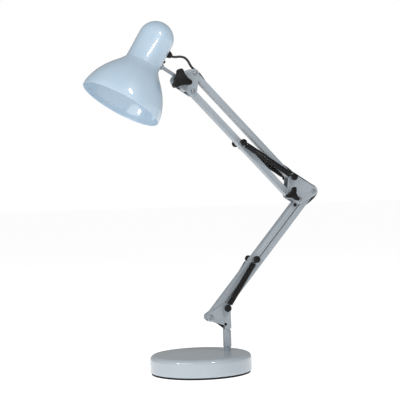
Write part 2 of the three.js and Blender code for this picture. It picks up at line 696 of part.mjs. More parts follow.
function buildHead() {
  const head = frameAt(mouthCentre, -shadeLean);

  const bellPoints = [...shadeOutline, [capRound, capStart]].map(([r, z]) => new THREE.Vector2(r, z));
  const bell = new THREE.SplineCurve(bellPoints).getPoints(9);
  const shell = (round) => [0, 22.5, 45, 67.5, 90].map((a) => along([0, capShoulder], a, round));
  const normalAt = (i) => {
    const before = bell[Math.max(i - 1, 0)];
    const after = bell[Math.min(i + 1, bell.length - 1)];
    const direction = after.clone().sub(before).normalize();
    return new THREE.Vector2(-direction.y, direction.x);
  };
  const inside = bell.map((point, i) => point.clone().addScaledVector(normalAt(i), shadeWall));
  const outline = [
    ...shell(capRound - shadeWall).reverse(),
    ...inside.reverse().map((point) => [point.x, Math.max(point.y, 0)]),
    ...bell.map((point) => [point.x, point.y]),
    ...shell(capRound),
  ];
  const holeFor = (radius, z) => barAlongX(radius, capRound - 6, capRound + 4, z);
  const shade = cut(
    turnedUp(outline, 36),
    holeFor(studRadius + play, rodAt),
    holeFor(screwRadius + play, holderScrewAt),
    holeFor(grommetTip + play, grommetAt),
  );
  add(head, "shade", shade, "paint");

  const [tiltX, tiltZ] = tiltAt;
  const hole = [tiltX, tiltZ, knobBoltRadius + play];
  const eye = sheet(round([tiltX, tiltZ, knuckleRadius]), -barDepth / 2, barDepth / 2, [hole]);
  const collarStart = capRound + gap;
  const knuckle = join(
    eye,
    barAlongX(rodRadius, collarStart + 0.5, tiltX - knobBoltRadius - 2, rodAt),
    barAlongX(rodCollarRadius, collarStart, collarStart + rodCollarThickness, rodAt, 20),
    barAlongX(studRadius, studDepth, collarStart + 1, rodAt),
  );
  const boltHole = barAlongY(knobBoltRadius + play, -barDepth, barDepth, tiltAt);
  add(head, "head_knuckle", cut(knuckle, boltHole), "armPaint");

  const holder = turnedUp([
    [holderBore, holderBottom], [holderRadius, holderBottom], [holderRadius, holderTop - 4],
    [holderRadius - 4, holderTop], [0, holderTop], [0, holderBoreTop], [holderBore, holderBoreTop],
  ], 32);
  const screwHole = (radius, z) => barAlongX(radius + play, studDepth - gap, holderRadius + 1, z);
  const drilled = cut(holder, screwHole(studRadius, rodAt), screwHole(screwRadius, holderScrewAt));
  add(head, "lamp_holder", drilled, "ceramic");
  const screw = join(
    barAlongX(screwRadius, studDepth, collarStart + 1, holderScrewAt),
    barAlongX(holderScrewHead, collarStart, collarStart + 2.4, holderScrewAt),
  );
  add(head, "holder_screw", screw, "blackPlastic");

  const capBottom = holderBottom + 2;
  const capTop = capBottom + bulbCapLength;
  const globe = [];
  for (let angle = -76; angle <= 50; angle += 18) globe.push(along([0, bulbCentre], angle, bulbRadius));
  const bulb = turnedUp([
    [0, bulbCentre - bulbRadius], ...globe, [bulbNeckRadius, capBottom - 4], [bulbNeckRadius, capBottom],
    [bulbCapRadius, capBottom], [bulbCapRadius, capTop - 5],
    [bulbCapRadius - 5, capTop - 1], [3, capTop], [0, capTop],
  ], 26);
  add(head, "bulb", bulb, "glass");

  const grommet = turned([
    [grommetTip, -2.5], [grommetTip, collarStart - capRound], [grommetRadius, collarStart - capRound],
    [grommetRadius - 1, grommetThickness], [grommetTip, grommetLength], [leadRadius + gap, grommetLength],
    [leadRadius + gap, -2.5],
  ], 20).rotateZ(-Math.PI / 2).translate(capRound, 0, grommetAt);
  add(head, "shade_grommet", grommet, "blackPlastic");
}

// The mains lead on the table behind the base: its first stretch, its coil and tie, and the plug.
function buildMains() {
  const group = frameAt([0, 0]);
  add(group, "mains_lead", lead(mainsLeadRoute, 16), "rubber");
  const tieGap = tieThickness + gap;
  const inner = coilMiddle - coilHalfWidth;
  const outer = coilMiddle + coilHalfWidth;
  const coilTop = coilHeight + tieGap;
  const coil = turnedUp([[inner, tieGap], [outer, tieGap], [outer, coilTop], [inner, coilTop]], 32);
  add(group, "mains_coil", coil.translate(...coilCentre, 0), "rubber");
  const half = tieWidth / 2;
  const reach = coilHalfWidth + gap;
  const top = coilTop + gap;
  const middle = coilCentre[0] - coilMiddle;
  const y = coilCentre[1];
  const tie = cut(
    block([middle - reach - 2, y - half, 0], [middle + reach + 2, y + half, top + tieThickness]),
    block([middle - reach - 1, y - half - 1, tieThickness], [middle + reach + 1, y + half + 1, top]),
  );
  add(group, "coil_tie", tie, "blackPlastic");
  const [plugX, plugY] = plugCentre;
  const plugMiddle = plugHeight / 2;
  const body = block(
    [plugX - plugWidth / 2, plugY - plugLength / 2, 0],
    [plugX + plugWidth / 2, plugY + plugLength / 2, plugHeight],
  );
  const pins = [-1, 1].map((side) =>
    barAlongY(plugPinRadius, plugY - plugLength / 2 - plugPinLength, plugY - plugLength / 2 + 2,
      [plugX + (side * plugPinSpread) / 2, plugMiddle], 14));
  add(group, "mains_plug", join(body, ...pins), "blackPlastic");
  add(group, "plug_lead", lead(plugLeadRoute, 12), "rubber");
}

buildBase();
buildPost();
buildLowerArm();
buildElbow();
buildUpperArm();
buildHeadBracket();
buildHead();
buildMains();

export default lamp;
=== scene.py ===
import math
import bmesh
import bpy
from mathutils import Matrix, Vector
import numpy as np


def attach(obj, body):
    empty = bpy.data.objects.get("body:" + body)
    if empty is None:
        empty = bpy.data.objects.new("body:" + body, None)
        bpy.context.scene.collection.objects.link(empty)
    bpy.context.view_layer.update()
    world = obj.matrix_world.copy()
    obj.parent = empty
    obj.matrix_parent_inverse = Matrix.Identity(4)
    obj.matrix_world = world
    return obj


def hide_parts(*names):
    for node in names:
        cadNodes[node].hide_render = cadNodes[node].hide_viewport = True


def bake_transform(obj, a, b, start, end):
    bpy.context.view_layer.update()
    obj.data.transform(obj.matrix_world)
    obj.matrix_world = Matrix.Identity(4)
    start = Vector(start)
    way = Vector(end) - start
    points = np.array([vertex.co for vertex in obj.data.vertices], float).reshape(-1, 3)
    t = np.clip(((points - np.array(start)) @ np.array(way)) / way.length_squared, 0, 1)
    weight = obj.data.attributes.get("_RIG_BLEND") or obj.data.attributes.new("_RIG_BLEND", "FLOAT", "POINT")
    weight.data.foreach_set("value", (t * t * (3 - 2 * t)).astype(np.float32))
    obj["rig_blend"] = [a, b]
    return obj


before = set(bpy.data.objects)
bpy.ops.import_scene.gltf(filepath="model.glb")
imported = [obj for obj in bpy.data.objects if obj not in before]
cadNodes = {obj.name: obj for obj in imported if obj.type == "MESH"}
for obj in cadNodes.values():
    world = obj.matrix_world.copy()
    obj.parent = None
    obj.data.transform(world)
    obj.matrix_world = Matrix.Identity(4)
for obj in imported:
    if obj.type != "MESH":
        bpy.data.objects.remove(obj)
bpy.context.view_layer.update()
scene = bpy.context.scene
mm = 0.001

# Camera, level and a little rolled

viewSetup = {
    "place": (-0.6928, -1.7338, 0.288),
    "azimuth": -22.0,
    "roll": 1.85,
    "lens": 100.5,
}


def makeCamera(setup):
    camera = bpy.data.objects.new("deskCamera", bpy.data.cameras.new("deskCamera"))
    camera.data.lens = setup["lens"]
    camera.data.sensor_width = 36
    camera.data.clip_start = 0.05
    camera.data.clip_end = 60
    turn = math.radians(setup["azimuth"])
    roll = math.radians(setup["roll"])
    right = Vector((math.cos(turn), math.sin(turn), 0))
    back = Vector((math.sin(turn), -math.cos(turn), 0))
    up = Vector((0, 0, 1))
    across = right * math.cos(roll) - up * math.sin(roll)
    above = right * math.sin(roll) + up * math.cos(roll)
    facing = Matrix((across, above, back)).transposed().to_4x4()
    camera.matrix_world = Matrix.Translation(setup["place"]) @ facing
    scene.collection.objects.link(camera)
    scene.camera = camera


makeCamera(viewSetup)

# Meshes

mergeDistance = 1e-6


def meshObject(name, verts, faces):
    mesh = bpy.data.meshes.new(name)
    mesh.from_pydata([tuple(v) for v in verts], [], faces)
    mesh.update()
    obj = bpy.data.objects.new(name, mesh)
    scene.collection.objects.link(obj)
    mesh.polygons.foreach_set("use_smooth", [True] * len(mesh.polygons))
    return obj


def outward(obj):
    work = bmesh.new()
    work.from_mesh(obj.data)
    bmesh.ops.remove_doubles(work, verts=work.verts, dist=mergeDistance)
    bmesh.ops.recalc_face_normals(work, faces=work.faces)
    work.to_mesh(obj.data)
    work.free()
    return obj


def applied(obj):
    # the evaluated shape as a plain mesh, with no modifiers left
    bpy.context.view_layer.update()
    graph = bpy.context.evaluated_depsgraph_get()
    mesh = bpy.data.meshes.new_from_object(obj.evaluated_get(graph), depsgraph=graph)
    obj.modifiers.clear()
    old = obj.data
    obj.data = mesh
    mesh.name = obj.name
    if old.users == 0:
        bpy.data.meshes.remove(old)
    return obj


def smoothByAngle(obj, degrees):
    obj.data.polygons.foreach_set("use_smooth", [True] * len(obj.data.polygons))
    obj.data.set_sharp_from_angle(angle=math.radians(degrees))
    return obj


def bevelled(obj, width, segments=3, angle=30):
    edge = obj.modifiers.new("edge", "BEVEL")
    edge.width = width
    edge.segments = segments
    edge.limit_method = "ANGLE"
    edge.angle_limit = math.radians(angle)
    edge.harden_normals = False
    return obj


def smoothRoute(points, spacing):
    # an even centripetal curve through the points
    substeps = 16
    pts = [Vector(p) for p in points]
    pts = [2 * pts[0] - pts[1]] + pts + [2 * pts[-1] - pts[-2]]
    fine = []
    for a, b, c, d in zip(pts, pts[1:], pts[2:], pts[3:]):
        t0 = 0
        t1 = max((b - a).length, 1e-9) ** 0.5
        t2 = t1 + max((c - b).length, 1e-9) ** 0.5
        t3 = t2 + max((d - c).length, 1e-9) ** 0.5
        for k in range(substeps):
            t = t1 + (t2 - t1) * k / substeps
            ab = a * ((t1 - t) / (t1 - t0)) + b * ((t - t0) / (t1 - t0))
            bc = b * ((t2 - t) / (t2 - t1)) + c * ((t - t1) / (t2 - t1))
            cd = c * ((t3 - t) / (t3 - t2)) + d * ((t - t2) / (t3 - t2))
            abc = ab * ((t2 - t) / (t2 - t0)) + bc * ((t - t0) / (t2 - t0))
            bcd = bc * ((t3 - t) / (t3 - t1)) + cd * ((t - t1) / (t3 - t1))
            fine.append(abc * ((t2 - t) / (t2 - t1)) + bcd * ((t - t1) / (t2 - t1)))
    fine.append(pts[-2].copy())
    return evenly(fine, spacing)


def evenly(points, spacing):
    lengths = [0.0]
    for a, b in zip(points, points[1:]):
        lengths.append(lengths[-1] + (b - a).length)
    count = max(2, round(lengths[-1] / spacing))
    result = []
    k = 0
    for i in range(count + 1):
        want = lengths[-1] * i / count
        while k < len(lengths) - 2 and lengths[k + 1] < want:
            k += 1
        part = (want - lengths[k]) / max(lengths[k + 1] - lengths[k], 1e-12)
        result.append(points[k].lerp(points[k + 1], min(max(part, 0), 1)))
    return result


def pathLength(points):
    return sum((b - a).length for a, b in zip(points, points[1:]))


def tubeAlong(name, path, radius, sides):
    # a closed round tube, with its rings turned as little as possible
    verts, faces = [], []
    last = len(path) - 1
    tangents = [(path[min(i + 1, last)] - path[max(i - 1, 0)]).normalized() for i in range(last + 1)]
    side = tangents[0].orthogonal().normalized()
    for point, tangent in zip(path, tangents):
        side = (side - tangent * side.dot(tangent)).normalized()
        other = tangent.cross(side)
        for k in range(sides):
            angle = 2 * math.pi * k / sides
            verts.append(point + side * (radius * math.cos(angle)) + other * (radius * math.sin(angle)))
    for i in range(last):
        for k in range(sides):
            a = i * sides + k
            b = i * sides + (k + 1) % sides
            faces.append((a, b, b + sides, a + sides))
    faces.append(tuple(reversed(range(sides))))
    faces.append(tuple(len(verts) - sides + k for k in range(sides)))
    return meshObject(name, verts, faces)


def turnedPiece(name, profile, place, axis, sides=48, sharp=32):
    # a profile of (radius, height) turned about an axis through a place
    # one that starts off the axis is closed on itself
    axis = Vector(axis).normalized()
    side = axis.orthogonal().normalized()
    other = axis.cross(side)
    place = Vector(place)
    verts, faces, rings = [], [], []
    for r, h in profile:
        if r < 1e-9:
            rings.append([len(verts)])
            verts.append(place + axis * h)
        else:
            rings.append(list(range(len(verts), len(verts) + sides)))
            for k in range(sides):
                angle = 2 * math.pi * k / sides
                verts.append(place + axis * h + (side * math.cos(angle) + other * math.sin(angle)) * r)
    closed = profile[0][0] > 1e-9
    pairs = list(zip(rings, rings[1:])) + ([(rings[-1], rings[0])] if closed else [])
    for low, high in pairs:
        for k in range(sides):
            j = (k + 1) % sides
            if len(low) == 1 and len(high) == 1:
                continue
            if len(low) == 1:
                faces.append((low[0], high[j], high[k]))
            elif len(high) == 1:
                faces.append((low[k], low[j], high[0]))
            else:
                faces.append((low[k], low[j], high[j], high[k]))
    return smoothByAngle(outward(meshObject(name, verts, faces)), sharp)


def rounded(profile, radius, steps):
    # rounds a profile's corners but not its ends, where (r, h, size) asks for a size of its own
    points = [Vector(p[:2]) for p in profile]
    sizes = [p[2] if len(p) > 2 else radius for p in profile]
    result = []
    for i, point in enumerate(points):
        if i in (0, len(points) - 1):
            result.append(tuple(point))
            continue
        a, b = points[i - 1] - point, points[i + 1] - point
        size = min(sizes[i], a.length * 0.45, b.length * 0.45)
        a, b = point + a.normalized() * size, point + b.normalized() * size
        for k in range(steps + 1):
            t = k / steps
            result.append(tuple(a * (1 - t) ** 2 + point * (2 * t * (1 - t)) + b * t * t))
    return result


def cadShape(node, name):
    # a merged copy of a CAD piece's mesh
    obj = bpy.data.objects.new(name, cadNodes[node].data.copy())
    scene.collection.objects.link(obj)
    obj.data.materials.clear()
    work = bmesh.new()
    work.from_mesh(obj.data)
    bmesh.ops.remove_doubles(work, verts=work.verts, dist=2 * mergeDistance)
    bmesh.ops.dissolve_limit(work, angle_limit=math.radians(1), verts=work.verts, edges=work.edges)
    work.to_mesh(obj.data)
    work.free()
    for layer in [a.name for a in obj.data.attributes if a.name.startswith("custom_normal")]:
        obj.data.attributes.remove(obj.data.attributes[layer])
    return obj


def finished(obj, material, body, slot, *nodes):
    obj.data.materials.clear()
    obj.data.materials.append(material)
    if body:
        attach(obj, body)
    if nodes:
        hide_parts(*nodes)
    return obj


# Finishes


class Flow:
    # a shader value; arithmetic on it adds math nodes
    def __init__(self, finish, socket):
        self.finish = finish
        self.socket = socket

    def join(self, kind, *values):
        return self.finish.node("ShaderNodeMath", {"operation": kind}, dict(enumerate(values)))

    def __add__(self, other):
        return self.join("ADD", self, other)

    def __radd__(self, other):
        return self.join("ADD", other, self)

    def __sub__(self, other):
        return self.join("SUBTRACT", self, other)

    def __rsub__(self, other):
        return self.join("SUBTRACT", other, self)

    def __mul__(self, other):
        return self.join("MULTIPLY", self, other)

    def __rmul__(self, other):
        return self.join("MULTIPLY", other, self)


class Finish:
    def __init__(self, name, **constants):
        self.material = bpy.data.materials.new(name)
        self.material.use_nodes = True
        self.tree = self.material.node_tree
        self.shader = self.tree.nodes["Principled BSDF"]
        for key, value in constants.items():
            self.shader.inputs[key.replace("_", " ")].default_value = value

    def node(self, kind, settings=None, values=None, out=0):
        made = self.tree.nodes.new(kind)
        for key, value in (settings or {}).items():
            setattr(made, key, value)
        for key, value in (values or {}).items():
            self.feed(made.inputs[key], value)
        return Flow(self, made.outputs[out])

    def feed(self, socket, value):
        if isinstance(value, Flow):
            self.tree.links.new(value.socket, socket)
        else:
            socket.default_value = value

    def place(self, stretch=(1, 1, 1)):
        where = self.node("ShaderNodeTexCoord", out="Object")
        return self.node("ShaderNodeMapping", None, {"Vector": where, "Scale": stretch})

    def noise(self, where, scale, detail=2.0, rough=0.5):
        values = {"Vector": where, "Scale": scale, "Detail": detail, "Roughness": rough}
        return self.node("ShaderNodeTexNoise", None, values)

    def ramp(self, value, low, high):
        return self.node("ShaderNodeMapRange", None, {"Value": value, "From Min": low, "From Max": high})

    def blend(self, share, first, second):
        return self.node("ShaderNodeMix", {"data_type": "RGBA"}, {0: share, 6: first, 7: second}, out=2)

    def set(self, key, value):
        self.feed(self.shader.inputs[key], value)

    def bump(self, height, strength, distance):
        values = {"Height": height, "Strength": strength, "Distance": distance}
        self.set("Normal", self.node("ShaderNodeBump", None, values))


def tone(red, green, blue):
    # a screen colour of 0 to 255 as a linear colour
    def linear(c):
        c /= 255
        return c / 12.92 if c <= 0.04045 else ((c + 0.055) / 1.055) ** 2.4
    return (linear(red), linear(green), linear(blue), 1)


def enamel(name, values):
    finish = Finish(name, Metallic=0.0, Coat_Roughness=0.06, IOR=1.5)
    where = finish.place()
    drift = finish.noise(where, 16, 3)
    fine = finish.noise(where, 140, 4, 0.6)
    finish.set("Base Color", finish.blend(finish.ramp(drift, 0.3, 0.7), values["colour"], values["deeper"]))
    finish.set("Roughness", values["rough"] + (fine - 0.5) * 0.08)
    finish.set("Coat Weight", values["coat"] + (drift - 0.5) * 0.1)
    peel = finish.noise(where, values["peel"], 1.5)
    finish.bump(peel + fine * 0.35, values["bump"], 0.00006)
    return finish.material


def mouldedBlack(name, values):
    finish = Finish(name, Metallic=0.0, Specular_IOR_Level=0.22)
    where = finish.place()
    grain = finish.noise(where, values["grain"], 3, 0.6)
    scuff = finish.ramp(finish.noise(where, 70, 5, 0.65), 0.52, 0.75)
    finish.set("Base Color", finish.blend(scuff * 0.5, values["colour"], values["worn"]))
    finish.set("Roughness", values["rough"] + scuff * 0.12)
    finish.bump(grain, values["bump"], 0.0001)
    return finish.material


def bareMetal(name, values):
    finish = Finish(name)
    where = finish.place(values["stretch"])
    lines = finish.noise(where, values["scale"], 4, 0.6)
    finish.set("Base Color", finish.blend(lines, values["colour"], values["deeper"]))
    finish.set("Metallic", values["metal"] + (lines - 0.5) * 0.1)
    finish.set("Roughness", values["rough"] + (lines - 0.5) * 0.2)
    finish.bump(lines, 0.25, 0.00005)
    return finish.material


def sheath(name, values):
    # the lead's matt jacket
    finish = Finish(name, Metallic=0.0)
    where = finish.place()
    matt = finish.noise(where, 260, 3)
    finish.set("Base Color", finish.blend(matt, values["colour"], values["worn"]))
    finish.set("Roughness", values["rough"] + (matt - 0.5) * 0.16)
    finish.bump(matt, 0.2, 0.00008)
    return finish.material


def roughIron(name, values):
    finish = Finish(name)
    where = finish.place()
    cast = finish.noise(where, 210, 6, 0.7)
    finish.set("Base Color", finish.blend(cast, values["colour"], values["deeper"]))
    finish.set("Metallic", 0.5 + (cast - 0.5) * 0.2)
    finish.set("Roughness", 0.75 + (cast - 0.5) * 0.3)
    finish.bump(cast, 0.7, 0.0006)
    return finish.material


def glazed(name, values):
    finish = Finish(name, IOR=1.5)
    where = finish.place()
    cloud = finish.noise(where, 60, 3)
    finish.set("Base Color", finish.blend(cloud, values["colour"], values["deeper"]))
    finish.set("Roughness", values["rough"] + (cloud - 0.5) * 0.1)
    finish.set("Coat Weight", 0.4 + (cloud - 0.5) * 0.1)
    finish.bump(cloud, 0.08, 0.0002)
    return finish.material


shadeEnamel = enamel("shadeEnamel", {"colour": tone(172, 192, 208), "deeper": tone(166, 187, 204),
                                     "rough": 0.4, "coat": 1.0, "peel": 420, "bump": 0.03})
baseEnamel = enamel("baseEnamel", {"colour": tone(168, 177, 184), "deeper": tone(162, 172, 180),
                                   "rough": 0.42, "coat": 0.7, "peel": 380, "bump": 0.04})
armEnamel = enamel("armEnamel", {"colour": tone(148, 156, 163), "deeper": tone(142, 151, 158),
                                 "rough": 0.42, "coat": 0.4, "peel": 460, "bump": 0.05})
knobPlastic = mouldedBlack("knobPlastic", {"colour": tone(10, 10, 11), "worn": tone(24, 24, 26), "grain": 900,
                                           "rough": 0.42, "bump": 0.3})
capPlastic = mouldedBlack("capPlastic", {"colour": tone(12, 12, 14), "worn": tone(28, 28, 31), "grain": 700,
                                         "rough": 0.36, "bump": 0.22})
padRubber = mouldedBlack("padRubber", {"colour": tone(20, 20, 21), "worn": tone(44, 43, 42), "grain": 500,
                                       "rough": 0.78, "bump": 0.5})
springWire = bareMetal("springWire", {"colour": tone(30, 30, 33), "deeper": tone(16, 16, 18), "metal": 0.55,
                                      "rough": 0.34, "scale": 240, "stretch": (1, 1, 1)})
zincPlate = bareMetal("zincPlate", {"colour": tone(176, 181, 186), "deeper": tone(150, 155, 160),
                                    "metal": 0.85, "rough": 0.34, "scale": 300, "stretch": (1, 0.2, 1)})
rivetSteel = bareMetal("rivetSteel", {"colour": tone(150, 155, 160), "deeper": tone(122, 127, 133),
                                      "metal": 0.75, "rough": 0.4, "scale": 300, "stretch": (1, 1, 1)})
nickelPlate = bareMetal("nickelPlate", {"colour": tone(205, 200, 188), "deeper": tone(186, 180, 168),
                                        "metal": 0.95, "rough": 0.25, "scale": 200, "stretch": (1, 1, 1)})
blackSheath = sheath("blackSheath", {"colour": tone(18, 18, 20), "worn": tone(30, 30, 32), "rough": 0.45})
castIron = roughIron("castIron", {"colour": tone(78, 78, 80), "deeper": tone(52, 52, 55)})
ceramicGlaze = glazed("ceramicGlaze", {"colour": tone(236, 233, 226), "deeper": tone(226, 223, 216),
                                       "rough": 0.22})
opalGlass = glazed("opalGlass", {"colour": tone(244, 243, 238), "deeper": tone(236, 236, 232), "rough": 0.2})
print("finishes made:", len(bpy.data.materials))

# Sizes shared by the pieces, in millimetres; pivots are (x, z)

pivots = {"frontFoot": Vector((17.5, 91.8)), "linkLower": Vector((27.5, 13.5)),
          "kneeOffset": Vector((-17.8, 8.4)), "linkUpper": Vector((4.6, 30.6)),
          "tiltOffset": Vector((-25, 18.4))}
arms = {"lowerLength": 258, "lowerAngle": 48, "upperLength": 248, "upperAngle": 45.5,
        "lowerPinAt": 124.5, "upperPinAt": 127}


def onLine(start, angle, distance):
    return start + Vector((math.cos(math.radians(angle)), math.sin(math.radians(angle)))) * distance


frontFoot = pivots["frontFoot"]
rearFoot = frontFoot + pivots["linkLower"]
frontTop = onLine(frontFoot, arms["lowerAngle"], arms["lowerLength"])
knee = frontTop + pivots["kneeOffset"]
shoulder = knee + pivots["linkUpper"]
bottomFront = onLine(knee, 180 - arms["upperAngle"], arms["upperLength"])
tiltPivot = bottomFront + pivots["tiltOffset"]
lowerPin = onLine(frontFoot, arms["lowerAngle"], arms["lowerPinAt"])
upperPin = onLine(knee, 180 - arms["upperAngle"], arms["upperPinAt"])


def at(point, y=0.0):
    return Vector((point[0], y, point[1])) * mm


# Leads: the mains lead first, then the lengths that the arms hold

mainsLead = {
    "radius": 2.0,
    "coilCentre": (60, 130),
    "coilOuter": 30.5,
    "columnStep": 4.33,
    "layerStep": 4.4,
    "floor": 1.4,
    "route": [(0, 113.6, 11), (0, 119, 10.3), (0.4, 127, 7.4), (2, 136, 4.4), (6.4, 146.4, 2.7),
              (14.5, 155.4, 2.2), (25.5, 161.4, 2.2), (38, 164.6, 2.6), (49, 165.6, 3.3), (58, 165.6, 3.3)],
    "plugRoute": [(93.2, 118, 9.4), (92.8, 110, 9), (92.4, 102, 8), (92.1, 94, 7), (92, 88, 6.6),
                  (92, 83.9, 6.5)],
}


def coilPath(values):
    # down in the outer column, in to the middle, up and out again, and off the top layer's outer edge
    r = [values["coilOuter"] - i * values["columnStep"] for i in range(4)]
    z = [values["floor"] + values["radius"] + i * values["layerStep"] for i in range(3)]
    turns = [(0, 35.6, 3.3), (80, r[0], z[0]), (360, r[0], z[0]), (450, r[1], z[0]), (720, r[1], z[0]),
             (810, r[2], z[0]), (1080, r[2], z[0]), (1170, r[3], z[0]), (1350, r[3], z[0]),
             (1440, r[3], z[1]), (1620, r[3], z[1]), (1710, r[2], z[1]), (1980, r[2], z[1]),
             (2070, r[1], z[1]), (2340, r[1], z[1]), (2430, r[0], z[1]), (2610, r[0], z[1]),
             (2700, r[0], z[2]), (2925, r[0], z[2]), (2993, 35.3, 9.4)]
    points = []
    for (a0, r0, z0), (a1, r1, z1) in zip(turns, turns[1:]):
        steps = max(2, round((a1 - a0) / 7.5))
        for k in range(steps):
            part = k / steps
            ease = (1 - math.cos(math.pi * part)) / 2
            turn = math.radians(93 - a0 - (a1 - a0) * part)
            radius = r0 + (r1 - r0) * ease
            x = values["coilCentre"][0] + radius * math.cos(turn)
            y = values["coilCentre"][1] + radius * math.sin(turn)
            points.append((x, y, z0 + (z1 - z0) * ease))
    return points


def makeMainsLead(values):
    route = values["route"][:-1] + coilPath(values) + values["plugRoute"]
    path = smoothRoute([Vector(p) * mm for p in route], 0.0017)
    cord = tubeAlong("mainsCord", path, values["radius"] * mm, sides=12)
    finished(cord, blackSheath, "base", "rubber", "mains_lead", "mains_coil", "plug_lead")
    print("mains lead", round(pathLength(path), 3), "m")
    return cord, path


mainsCord, mainsPath = makeMainsLead(mainsLead)
headRoute = [(-34.2, 527.2), (-27.8, 527), (-20, 527.6), (-11.5, 525.8), (-6, 520.6), (-2.4, 514.4),
             (1, 509.8), (5.5, 506.2)]
topRoute = [(6.2, 505.7), (11, 501.9), (16.5, 495.8), (22, 488.2), (27.5, 479.6), (34.5, 470.4), (100, 403.9),
            (149.8, 352.8)]
elbowRoute = [(150.3, 352.4), (158.3, 346.3), (167.4, 341.2), (174.9, 336), (180.9, 330.7), (186.9, 327.2),
              (197.1, 320.8), (207.2, 314.5), (216.6, 308.6), (222.7, 305.2), (225.9, 301.8), (227.2, 297),
              (226.8, 293.4), (223.2, 288.6), (216, 282.3), (207.5, 276.5), (197.9, 270.4), (189.6, 263.6)]
rearRoute = [(189.2, 263.1), (181.4, 255), (131, 199.1), (80.6, 143.1), (66.2, 127.1)]
postRoute = [(65.8, 126.6), (60.8, 118), (56.7, 110.9), (51.7, 104.7), (46.5, 98.6), (42.2, 93.6),
             (39.2, 88.6), (38, 83.8), (39.2, 79.4), (42.2, 76), (45.8, 73), (48.1, 69.4), (48.9, 65),
             (49, 58), (49, 40), (49, 17)]


def makeHeldLead(name, route, nodes, bodies, start=None, end=None):
    path = smoothRoute([at(p) for p in route], 0.0015)
    tube = tubeAlong(name, path, mainsLead["radius"] * mm, sides=16)
    if len(bodies) == 1:
        finished(tube, blackSheath, bodies[0], "rubber", *nodes)
    else:
        finished(tube, blackSheath, None, "rubber", *nodes)
        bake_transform(tube, *bodies, at(start), at(end))


makeHeldLead("headCable", headRoute, ["head_lead"], ["head", "head_link"], (-32, 527), (-3, 515))
makeHeldLead("topBarCable", topRoute, ["top_bar_lead"], ["head_link", "top_arm"], (6.2, 505.7), (30, 476))
makeHeldLead("shoulderCable", elbowRoute[:7], ["elbow_lead"], ["top_arm", "elbow"], (160, 345), (188, 326.5))
makeHeldLead("elbowCable", elbowRoute[6:], ["elbow_lead"], ["elbow", "lower_rear_arm"], (225, 306),
             (212, 279))
makeHeldLead("rearBarCable", rearRoute, ["rear_bar_lead"], ["lower_rear_arm"])
makeHeldLead("postCable", postRoute, ["post_lead"], ["lower_rear_arm", "post"], (64, 124), (42.2, 93.6))
print("leads made")

# Springs

springs = {"radius": 4.4, "wire": 0.58, "pitch": 1.26, "hook": 8.0, "y": 14.3, "eye": 3.45,
           "neck": [(4.6, -0.7), (6.1, 0.5), (7.3, 2.4)], "firmEnd": 0.08}


def springTree():
    tree = bpy.data.node_groups.new("closeWoundSpring", "GeometryNodeTree")
    for name in ("Turns", "Radius", "Length", "Wire"):
        tree.interface.new_socket(name, in_out="INPUT", socket_type="NodeSocketFloat")
    tree.interface.new_socket("Material", in_out="INPUT", socket_type="NodeSocketMaterial")
    tree.interface.new_socket("Geometry", in_out="OUTPUT", socket_type="NodeSocketGeometry")
    source = tree.nodes.new("NodeGroupInput")
    helix = tree.nodes.new("GeometryNodeCurveSpiral")
    helix.inputs["Resolution"].default_value = 15
    section = tree.nodes.new("GeometryNodeCurvePrimitiveCircle")
    section.inputs["Resolution"].default_value = 7
    wire = tree.nodes.new("GeometryNodeCurveToMesh")
    wire.inputs["Fill Caps"].default_value = True
    real = tree.nodes.new("GeometryNodeRealizeInstances")
    painted = tree.nodes.new("GeometryNodeSetMaterial")
    result = tree.nodes.new("NodeGroupOutput")
    for start, end in ((source.outputs["Turns"], helix.inputs["Rotations"]),
                       (source.outputs["Radius"], helix.inputs["Start Radius"]),
                       (source.outputs["Radius"], helix.inputs["End Radius"]),
                       (source.outputs["Length"], helix.inputs["Height"]),
                       (source.outputs["Wire"], section.inputs["Radius"]),
                       (helix.outputs["Curve"], wire.inputs["Curve"]),
                       (section.outputs["Curve"], wire.inputs["Profile Curve"]),
                       (wire.outputs["Mesh"], real.inputs["Geometry"]),
                       (real.outputs["Geometry"], painted.inputs["Geometry"]),
                       (source.outputs["Material"], painted.inputs["Material"]),
                       (painted.outputs["Geometry"], result.inputs["Geometry"])):
        tree.links.new(start, end)
    return tree


springNodes = springTree()


def joined(name, parts):
    # several meshes as one
    work = bmesh.new()
    for part in parts:
        work.from_mesh(part.data)
        bpy.data.objects.remove(part)
    mesh = bpy.data.meshes.new(name)
    work.to_mesh(mesh)
    work.free()
    obj = bpy.data.objects.new(name, mesh)
    scene.collection.objects.link(obj)
    return obj


